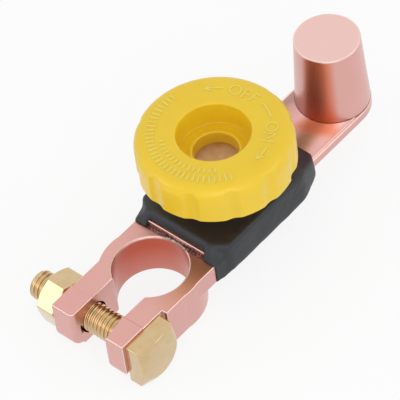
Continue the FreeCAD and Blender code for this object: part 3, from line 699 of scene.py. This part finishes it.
def fluted_knob_tree():
    """Turn a profile round the upright axis, press flutes into its side and add ribs below."""
    add, given = new_tree(
        "fluted_knob", ("Profile Points", "Steps", "Flutes", "Ribs"),
        ("Flute Radius", "Flute Reach", "Flute Phase", "Softness"), ("Rib Size", "Rib Place"))
    grid, row, angle = swept_grid(add, given["Profile Points"], given["Steps"])
    sample = add("GeometryNodeSampleIndex", {
        "Geometry": given["Geometry"], "Value": add("GeometryNodeInputPosition"),
        "Index": add("FLOORED_MODULO", row, given["Profile Points"])}, data_type="FLOAT_VECTOR", domain="POINT")
    profile, _, height = add(SPLIT, sample).outputs
    # Each flute is a round cutter that stands outside the knob; off is the angle from its middle.
    half = add("DIVIDE", math.pi, given["Flutes"])
    off = add("WRAP", add("SUBTRACT", angle, given["Flute Phase"]), half, add("MULTIPLY", half, -1.0))
    side = add("MULTIPLY", given["Flute Reach"], add("SINE", off))
    depth = add("MULTIPLY", given["Flute Reach"], add("COSINE", off))
    room = add("SUBTRACT", add("POWER", given["Flute Radius"], 2.0), add("MULTIPLY", side, side))
    wall = add("SUBTRACT", depth, add("SQRT", add("MAXIMUM", room, 0.0)))
    radius = add("SMOOTH_MIN", profile, wall, given["Softness"])
    place = add(JOIN, add("MULTIPLY", radius, add("COSINE", angle)),
                add("MULTIPLY", radius, add("SINE", angle)), height)
    turned = add("GeometryNodeSetPosition", {"Geometry": grid, "Position": place})
    bar = add("GeometryNodeMeshCube", {"Size": given["Rib Size"]})
    share = add("DIVIDE", add("MULTIPLY", add("GeometryNodeInputIndex"), 2 * math.pi), given["Ribs"])
    ribs = add("GeometryNodeInstanceOnPoints", {
        "Points": add("GeometryNodeMeshLine", {"Count": given["Ribs"], "Offset": (0, 0, 0)}),
        "Instance": add("GeometryNodeTransform", {"Geometry": bar, "Translation": given["Rib Place"]}),
        "Rotation": add(JOIN, {"Z": share})})
    both = add("GeometryNodeJoinGeometry", turned)
    feed(both, ribs)
    return close_tree(add, both, given)


def thread_tree():
    """A right-hand screw thread along +Y: rows follow the helix, and both ends close flat."""
    add, given = new_tree(
        "screw_thread", ("Turns", "Rows Per Turn", "Steps"),
        ("Crest", "Depth", "Pitch", "Start", "End", "Tip Radius", "Wear"))
    rows = add("MULTIPLY", add("ADD", given["Turns"], 3.0), given["Rows Per Turn"])
    grid, row, angle = swept_grid(add, rows, given["Steps"])
    turns = add("DIVIDE", row, given["Rows Per Turn"])
    swung = add("ADD", turns, add("DIVIDE", angle, 2 * math.pi))
    along = add("ADD", given["Start"], add("MULTIPLY", add("SUBTRACT", swung, 2.0), given["Pitch"]))
    y = add("MINIMUM", add("MAXIMUM", along, given["Start"]), given["End"])
    middle = add("ABSOLUTE", add("SUBTRACT", add("FRACT", turns), 0.5))
    flank = add(RANGE, add("MULTIPLY", middle, 2.0), 0.2, 0.82, 0.0, 1.0, **EASED)
    wear_and_highlight = add(NOISE, {"Scale": 900.0, "Detail": 2.0})
    groove = add("ADD", add("MULTIPLY", flank, given["Depth"]), add("MULTIPLY", wear_and_highlight, given["Wear"]))
    # Both ends are chamfered down to the tip's radius.
    near_tip = add("ADD", given["Tip Radius"], add("SUBTRACT", given["End"], y))
    near_head = add("ADD", given["Tip Radius"], add("SUBTRACT", y, given["Start"]))
    held = add("MINIMUM", add("SUBTRACT", given["Crest"], groove), add("MINIMUM", near_tip, near_head))
    # The first row and the last meet on the axis.
    last = add("SUBTRACT", rows, 0.5)
    inner = add("MULTIPLY", add("GREATER_THAN", row, 0.5), add("LESS_THAN", row, last))
    radius = add("MULTIPLY", held, inner)
    place = add(JOIN, add("MULTIPLY", radius, add("SINE", angle)), y,
                add("MULTIPLY", radius, add("COSINE", angle)))
    screwed = add("GeometryNodeSetPosition", {"Geometry": grid, "Position": place})
    return close_tree(add, add("GeometryNodeMergeByDistance", {"Geometry": screwed, "Distance": 2e-6}), given)


def tick_ring_tree():
    """Repeat a raised bar at even angles along an arc round the knob's axis."""
    add, given = new_tree("tick_ring", ("Ticks",), ("First Angle", "Last Angle"))
    share = add("DIVIDE", add("GeometryNodeInputIndex"), add("SUBTRACT", given["Ticks"], 1.0))
    span = add("SUBTRACT", given["Last Angle"], given["First Angle"])
    turn = add("ADD", given["First Angle"], add("MULTIPLY", share, span))
    bars = add("GeometryNodeInstanceOnPoints", {
        "Points": add("GeometryNodeMeshLine", {"Count": given["Ticks"], "Offset": (0, 0, 0)}),
        "Instance": given["Geometry"], "Rotation": add(JOIN, {"Z": turn})})
    return close_tree(add, bars, given)


# operators

class SWITCH_OT_castings(bpy.types.Operator):
    """Round the edges of the clamp and the post and plate both with copper"""

    bl_idname = "switch.castings"
    bl_label = "Castings"

    def execute(self, context):
        sizes = context.scene.switch_sizes
        copper = material_for(context, "plated_copper")
        jaw_end = CLAMP_LOW.x + 3.5 * MM
        mouth = 5.1 * MM
        close = 0.02 * MM

        def beside_slot(first, second):
            """Whether an edge runs up the end of a jaw beside the slot."""
            upright = max(first.z, second.z) > 0.1 * MM and abs(first.z - second.z) > close
            return upright and all(point.x < jaw_end and abs(abs(point.y) - mouth) < close and point.z > -MM
                                   for point in (first, second))

        clamp = cast_copy("clamp_casting", "clamp", sizes.cast_edge, copper, beside_slot, sizes.jaw_mouth)
        finish(clamp, copper, "frame")
        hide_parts("clamp_casting")

        foot_radius = POST_TOP_RADIUS + (POST_HIGH.z - PLATE_TOP) / POST_TAPER

        def under_post(first, second):
            """Whether an edge belongs to the stub that the turned post covers."""
            return all(point.z > PLATE_TOP - 0.01 * MM
                       and (point - POST_AXIS).xy.length < foot_radius + 0.05 * MM for point in (first, second))

        plate = cast_copy("post_casting", "plate", sizes.cast_edge, copper, lid=PLATE_TOP + 0.03 * MM,
                          skip=under_post)
        rim = 0.35 * MM
        hidden_foot = PLATE_TOP - 0.4 * MM
        path = rounded_path([
            (0, POST_HIGH.z, 0), (POST_TOP_RADIUS, POST_HIGH.z, rim), (foot_radius, PLATE_TOP, 0),
            (foot_radius, hidden_foot, 0), (0, hidden_foot, 0)])
        side = path.index((foot_radius, PLATE_TOP))
        # Rings beside the rounding keep the flat and the taper evenly shaded.
        rows = between(path[side - 1], path[side], [0.01] + [step / 8 for step in range(1, 8)])
        path = path[:1] + [(path[1][0] - 0.2 * MM, POST_HIGH.z)] + path[1:side] + rows + path[side:]
        post = mesh_object("post", lambda work: turned_body(work, path, POST_AXIS, 160))
        post.data.shade_smooth()
        low, inner = POST_HIGH.z - rim - 0.01 * MM, POST_TOP_RADIUS - rim + 0.01 * MM
        # A weaker painted highlight round the post's top rim.
        note_edge_highlight(post, [0.4 * (vert.co.z > low and (vert.co - POST_AXIS).xy.length > inner)
                         for vert in post.data.vertices])
        piece = joined("tapered_post", (plate, post))
        piece.data.set_sharp_from_angle(angle=math.radians(50))
        finish(piece, copper, "frame")
        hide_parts("post_casting")
        return {"FINISHED"}


class SWITCH_OT_housing(bpy.types.Operator):
    """Remake the moulded housing as a soft, slightly uneven skin"""

    bl_idname = "switch.housing"
    bl_label = "Housing"

    def execute(self, context):
        sizes = context.scene.switch_sizes
        held = ("clamp_casting", "post_casting", "retainer_ring", "base_plug", "contact_washer",
                "insulating_sheet")
        piece = even_skin("housing", "housing_skin", sizes.skin_grain, sizes.skin_softness, sizes.skin_wave,
                          held)
        finish(piece, material_for(context, "soft_pvc_dark"), "frame")
        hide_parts("housing")
        return {"FINISHED"}


class SWITCH_OT_knob(bpy.types.Operator):
    """Turn the fluted knob with its recess, its hub and its ribs"""

    bl_idname = "switch.knob"
    bl_label = "Knob"

    def execute(self, context):
        sizes = context.scene.switch_sizes
        outer = (KNOB_HIGH.x - KNOB_LOW.x) / 2
        top = KNOB_HIGH.z - sizes.mark_height
        skirt = outer - sizes.skirt_wall
        rim_foot, deck_under, web_under, floor, eye_foot = (z * MM for z in (26.5, 34.6, 28.6, 30.6, 27.4))
        step_up = floor + 0.3 * MM
        # Hub, underside, skirt, side, top, recess and the stud's eye: radius and rounding in millimetres.
        corners = [
            (5.75, KNOB_LOW.z, 0), (7.2, KNOB_LOW.z, 0.4), (7.2, web_under, 0.5), (12.0, web_under, 0.5),
            (12.0, deck_under, 0.5), (skirt / MM, deck_under, 0.8), (skirt / MM, rim_foot, 0.5),
            (outer / MM, rim_foot, 0.6), (outer / MM, top, sizes.knob_shoulder / MM), (9.55, top, 0.75),
            (9.5, floor, 0.3), (7.5, floor, 0.8), (6.6, step_up, 0.5), (5.9, step_up, 0.3),
            (5.9, eye_foot, 0), (5.75, eye_foot, 0)]
        path = rounded_path([(r * MM, z, arc * MM) for r, z, arc in corners])
        # Extra rows in long straight walls keep the quads near square.
        longest = 2.2 * MM
        rows = []
        for point, following in zip(path, path[1:] + path[:1]):
            count = int(math.dist(point, following) / longest) + 1
            rows += [point] + between(point, following, [step / count for step in range(1, count)])
        piece = mesh_object("fluted_knob", lambda work: [work.verts.new((r, 0, z)) for r, z in rows])
        material = material_for(context, "moulded_abs_yellow")
        # Each rib reaches a little into the hub, the skirt and the deck above it.
        into = 0.4 * MM
        rib_high, rib_in, rib_out = deck_under + into, 11.6 * MM, skirt + into
        run_tree(piece, fluted_knob_tree(), {
            "Profile Points": len(rows), "Steps": 480, "Ribs": sizes.ribs, "Flutes": sizes.flutes,
            "Flute Radius": sizes.flute_radius, "Flute Phase": sizes.flute_phase,
            "Flute Reach": outer + sizes.flute_radius - sizes.flute_depth, "Softness": sizes.flute_softness,
            "Rib Size": (rib_out - rib_in, sizes.rib_width, rib_high - web_under),
            "Rib Place": ((rib_in + rib_out) / 2, 0, (web_under + rib_high) / 2),
            "Centre": KNOB_AXIS, "Material": material})
        tidy_mesh(piece, 50)
        finish(piece, material, "turning_knob")
        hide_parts("knob")
        return {"FINISHED"}


class SWITCH_OT_knob_marks(bpy.types.Operator):
    """Raise ON, OFF, the arrows, the dash and the rings of ticks on the knob's top"""

    bl_idname = "switch.knob_marks"
    bl_label = "Knob marks"

    def execute(self, context):
        sizes = context.scene.switch_sizes
        material = material_for(context, "moulded_abs_yellow")
        base = KNOB_HIGH.z - sizes.mark_height
        thickness = sizes.mark_height + MARKS_SUNK

        def on_arc(radius, start, along=0.0, out=0.0):
            """Point at a distance along an arc from an angle in degrees, and at a distance out from it."""
            angle = math.radians(start) + along / radius
            reach = radius + out
            return KNOB_AXIS + Vector((reach * math.cos(angle), reach * math.sin(angle), base - MARKS_SUNK))

        def letter_mark(letter, radius, degrees):
            """A raised capital, its foot towards the knob's axis."""
            curve = bpy.data.curves.new("letter", "FONT")
            curve.body = letter
            curve.align_x = "CENTER"
            # A capital takes up 0.73 of the size that the lettering is given.
            curve.size = sizes.letter_height / 0.73
            curve.offset = -0.012 * sizes.letter_height
            curve.extrude = thickness / 2
            curve.bevel_depth = 0
            curve.resolution_u = 6
            text = settle(new_object("letter", curve))
            text.data.transform(Matrix.Translation((0, -sizes.letter_height / 2, thickness / 2)))
            text.data.transform(Matrix.Translation(on_arc(radius * MM, degrees))
                                @ Matrix.Rotation(math.radians(degrees) - math.pi / 2, 4, "Z"))
            return text

        def arc_stroke(radius, first, last, head):
            """A raised stroke along an arc in one outline, with an arrow's two barbs at its last angle."""
            radius *= MM
            half = sizes.stroke / 2
            sense = 1 if last > first else -1
            length = stop = math.radians(abs(last - first)) * radius
            ends = []
            if head:
                barb = Vector((-1.9, 0.85)) * MM
                lean = barb.normalized()
                side = Vector((lean.y, -lean.x)) * half
                stop = length + (lean * ((half + side.y) / lean.y) - side).x
                ends = [(length + end.x, end.y) for end in (barb - side, barb + side)]
            steps = 12
            outer_half = [(stop * i / steps, half) for i in range(steps + 1)] + ends
            outline = outer_half + [(length + half, 0)] * head + [(x, -y) for x, y in reversed(outer_half)]

            def draw(work):
                points = [on_arc(radius, first, along * sense, out) for along, out in outline]
                face = work.faces.new([work.verts.new(point) for point in points])
                raised = bmesh.ops.extrude_face_region(work, geom=[face])
                corners = [item for item in raised["geom"] if isinstance(item, bmesh.types.BMVert)]
                bmesh.ops.translate(work, verts=corners, vec=(0, 0, thickness))
                bmesh.ops.recalc_face_normals(work, faces=work.faces)

            return mesh_object("stroke", draw)

        tree = tick_ring_tree()

        def tick_ring(inner, outer, count, first, last):
            """Raised bars between two radii, at even angles from first to last."""
            def draw(work):
                bar = bmesh.ops.create_cube(work, size=1.0)["verts"]
                bmesh.ops.scale(work, verts=bar, vec=((outer - inner) * MM, sizes.stroke, thickness))
                middle = ((outer + inner) / 2 * MM, 0, base - MARKS_SUNK + thickness / 2)
                bmesh.ops.translate(work, verts=bar, vec=middle)

            return run_tree(mesh_object("ticks", draw), tree, {
                "Ticks": count, "First Angle": math.radians(first), "Last Angle": math.radians(last),
                "Centre": KNOB_AXIS, "Material": material})

        parts = [letter_mark(*mark) for mark in (
            ("O", 14.8, 17.5), ("F", 14.6, 5.6), ("F", 14.8, -4.9), ("O", 14.9, -49.3), ("N", 14.6, -63.0))]
        parts += [arc_stroke(*mark) for mark in (
            (14.8, 30.4, 49.2, True), (15.0, -15.9, -36.3, False), (14.9, -75.5, -94.1, True))]
        parts += [tick_ring(*mark) for mark in (
            (15.0, 17.2, 33, 80.0, 236.0), (12.5, 14.0, 15, 140.0, 222.0))]
        piece = joined("knob_marks", parts)
        tidy_mesh(piece, 30)
        modify(piece, "BEVEL", width=0.07 * MM, segments=3, limit_method="ANGLE", angle_limit=math.radians(40))
        settle(piece)
        # Painted highlight on the marks' upper parts.
        note_edge_highlight(piece, [float(vert.co.z > base + 0.03 * MM) for vert in piece.data.vertices])
        shade(piece, 50)
        finish(piece, material, "turning_knob")
        return {"FINISHED"}


class SWITCH_OT_clamp_hardware(bpy.types.Operator):
    """Make the threaded square-headed clamp bolt and its hexagon nut"""

    bl_idname = "switch.clamp_hardware"
    bl_label = "Clamp bolt and nut"

    def execute(self, context):
        sizes = context.scene.switch_sizes
        brass = material_for(context, "bright_yellow_plating")
        edge = sizes.hardware_edge
        crest, bore = 4.0 * MM, 4.06 * MM
        outer, seat = BOLT_LOW.y, BOLT_LOW.y + 5.3 * MM

        def head_profile(reach):
            """Half section of the head: flat, turned-off corner, side and seat."""
            turned_off = outer + (reach - FLAT_END) * CORNER_SLOPE
            return [(0, outer, 0), (FLAT_END, outer, 1.3 * MM), (reach, turned_off, edge),
                    (reach, seat, edge / 2), (0, seat, 0)]

        head = mesh_object("bolt_head", lambda work: turned_prism(work, "clamp_bolt", 4, head_profile, edge))
        shank = new_object("shank", bpy.data.meshes.new("shank"))
        start, end = seat - 0.8 * MM, BOLT_HIGH.y
        run_tree(shank, thread_tree(), {
            "Turns": int((end - start) / sizes.thread_pitch) + 1, "Rows Per Turn": 12, "Steps": 64,
            "Crest": crest, "Depth": sizes.thread_depth, "Pitch": sizes.thread_pitch, "Start": start, "End": end,
            "Tip Radius": 3.1 * MM, "Wear": 0.04 * MM, "Centre": BOLT_AXIS, "Material": brass})
        tidy_mesh(shank, 60)
        bolt = joined("threaded_bolt", (head, shank))
        shade(bolt, 45)
        finish(bolt, brass, "bolt")
        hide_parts("clamp_bolt")

        mouth = crest + 0.55 * MM
        deep = 0.5 * MM

        def nut_profile(reach):
            """Half section of the nut: both ends turned off at the corners and opened at the thread."""
            drop = (reach - FLAT_END) * CORNER_SLOPE
            near, far = NUT_LOW.y, NUT_HIGH.y
            return [(mouth, near, 0.1 * MM), (FLAT_END, near, 0.7 * MM), (reach, near + drop, edge),
                    (reach, far - drop, edge), (FLAT_END, far, 0.7 * MM), (mouth, far, 0.1 * MM),
                    (bore, far - deep, 0), (bore, near + deep, 0)]

        nut = mesh_object("hexagon_nut", lambda work: turned_prism(work, "clamp_nut", 6, nut_profile, edge))
        shade(nut, 45)
        finish(nut, brass, "nut")
        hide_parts("clamp_nut")
        return {"FINISHED"}


class SWITCH_OT_contact_parts(bpy.types.Operator):
    """Finish the stud, the washer and the small parts inside the housing"""

    bl_idname = "switch.contact_parts"
    bl_label = "Contact parts"

    def execute(self, context):
        finishes = {
            "contact_stud": "turned_brass", "contact_washer": "plated_copper", "retainer_ring": "soft_pvc_dark",
            "base_plug": "soft_pvc_dark", "stem_seal": "nitrile_rubber", "insulating_sheet": "fibre_board",
            "insulating_bush": "fibre_board"}
        for node, name in finishes.items():
            for slot in frame["nodes"][node].material_slots:
                slot.material = material_for(context, name)
        return {"FINISHED"}


class SWITCH_OT_stage(bpy.types.Operator):
    """Lay the pale floor, hang the lamps and place the camera"""

    bl_idname = "switch.stage"
    bl_label = "Stage"

    def execute(self, context):
        scene = context.scene
        level = min(CLAMP_LOW.z, NUT_LOW.z) - 0.1 * MM
        white = (1, 1, 1, 1)

        def sheet(work):
            work.faces.new([work.verts.new((x, y, level)) for x, y in ((-3, -3), (3, -3), (3, 3), (-3, 3))])

        def shown(add, unseen, seen, share):
            """Mix in a second shader, by a share, where the camera, gloss or a clear thing sees it."""
            path = add("ShaderNodeLightPath").outputs
            clear = add("MAXIMUM", path["Is Glossy Ray"], path["Is Transmission Ray"])
            rays = add("MAXIMUM", path["Is Camera Ray"], clear)
            return add("ShaderNodeMixShader", add("MULTIPLY", rays, share), unseen, seen)

        floor = mesh_object("floor", sheet)
        material, add, shader = new_material("pale_floor")
        feed(shader, {"Base Color": rgba(scene.switch_colours.floor), "Roughness": 0.9,
                      "Specular IOR Level": 0.0})
        # Where it is seen the floor is mostly plain white and keeps a pale shadow.
        plain = add("ShaderNodeEmission", {"Color": white, "Strength": 1.0})
        feed(material.node_tree.nodes["Material Output"], shown(add, shader, plain, 0.86))
        floor.data.materials.append(material)

        scene.world = bpy.data.worlds.new("studio")
        scene.world.use_nodes = True
        scene.world.node_tree.nodes.clear()
        add = partial(add_node, scene.world.node_tree)
        # The room lights the switch a little less than it shows.
        dim, bright = (add("ShaderNodeBackground", {"Color": white, "Strength": strength})
                       for strength in (0.78, 1.0))
        add("ShaderNodeOutputWorld", shown(add, dim, bright, 1.0))

        centre = Vector((0.045, 0, 0.01))
        for name, spot, width, power in (("front_softbox", (-0.62, -0.72, 0.55), 0.8, 2.4),
                                         ("left_softbox", (-0.85, 0.57, 0.5), 0.4, 0.9),
                                         ("right_softbox", (0.5, -0.85, 0.54), 0.4, 0.9)):
            light = bpy.data.lights.new(name, "AREA")
            light.shape = "SQUARE"
            light.size = width
            light.energy = power
            lamp = new_object(name, light)
            lamp.location = centre + Vector(spot)
            lamp.rotation_euler = (-Vector(spot)).to_track_quat("-Z", "Y").to_euler()

        # The view that the switch was measured in: its angles, its offset and distance, its lens in pixels.
        azimuth, elevation, roll = (math.radians(a) for a in (-43.34, 48.61, -8.43))
        offset = Vector((-16.75, -9.27, 889.6)) * MM
        lens_pixels, picture_pixels = 3443.1, 400
        data = bpy.data.cameras.new("camera")
        data.sensor_width = 36
        data.sensor_fit = "HORIZONTAL"
        data.lens = data.sensor_width * lens_pixels / picture_pixels
        data.clip_start = 0.01
        data.clip_end = 20
        camera = new_object("camera", data)
        turned = (Matrix.Rotation(azimuth, 4, "Z") @ Matrix.Rotation(math.pi / 2 - elevation, 4, "X")
                  @ Matrix.Rotation(roll, 4, "Z"))
        camera.matrix_world = Matrix.Translation(centre) @ turned @ Matrix.Translation(offset)
        scene.camera = camera
        scene.view_settings.view_transform = "Standard"
        return {"FINISHED"}


STEPS = (SWITCH_OT_castings, SWITCH_OT_housing, SWITCH_OT_knob, SWITCH_OT_knob_marks, SWITCH_OT_clamp_hardware,
         SWITCH_OT_contact_parts, SWITCH_OT_stage)


class SWITCH_PT_panel(bpy.types.Panel):
    """Builds the disconnect switch piece by piece"""

    bl_idname = "SWITCH_PT_panel"
    bl_label = "Disconnect switch"
    bl_space_type = "VIEW_3D"
    bl_region_type = "UI"
    bl_category = "Disconnect switch"

    def draw(self, context):
        for step in STEPS:
            self.layout.operator(step.bl_idname)
        for group in (context.scene.switch_sizes, context.scene.switch_colours):
            column = self.layout.column()
            for name in group.bl_rna.properties.keys():
                if name not in ("rna_type", "name"):
                    column.prop(group, name)


CLASSES = (SwitchSizes, SwitchColours, *STEPS, SWITCH_PT_panel)


def register():
    for item in CLASSES:
        bpy.utils.register_class(item)
    bpy.types.Scene.switch_sizes = bpy.props.PointerProperty(type=SwitchSizes)
    bpy.types.Scene.switch_colours = bpy.props.PointerProperty(type=SwitchColours)


def unregister():
    del bpy.types.Scene.switch_colours
    del bpy.types.Scene.switch_sizes
    for item in reversed(CLASSES):
        bpy.utils.unregister_class(item)


def main():
    """Build everything in order."""
    register()
    for step in STEPS:
        group, name = step.bl_idname.split(".")
        getattr(getattr(bpy.ops, group), name)()


if __name__ == "__main__":
    main()
